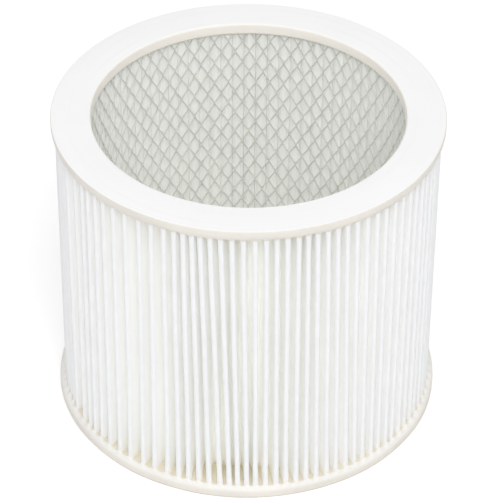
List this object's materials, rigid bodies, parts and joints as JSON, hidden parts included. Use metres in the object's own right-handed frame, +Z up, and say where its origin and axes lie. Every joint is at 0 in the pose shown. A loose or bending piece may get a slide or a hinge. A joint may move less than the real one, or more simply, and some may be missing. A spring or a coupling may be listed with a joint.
{
  "type": "vacuum cartridge filter",
  "caption": "Open ring cartridge filter of upright pleated cloth around a diamond mesh sleeve, closed by a moulded ring at each end, which slides over a vacuum's filter cage.",
  "frame": {"origin": "centre of the bottom ring's lower face, on the cartridge's axis", "axes": "+Z up along the axis, from the bottom ring to the top ring; -Y towards the viewer of the picture"},
  "size_m": [0.2024, 0.2024, 0.172],
  "materials": {
    "end_cap_compound": "matte off-white moulded compound",
    "filter_cloth": "matte white filter cloth",
    "screen_metal": "dull zinc grey expanded mesh"
  },
  "bodies": {
    "root": {"top_end_cap": "end_cap_compound", "bottom_end_cap": "end_cap_compound", "pleated_cloth": "filter_cloth", "inner_screen": "screen_metal"}
  },
  "joints": []
}
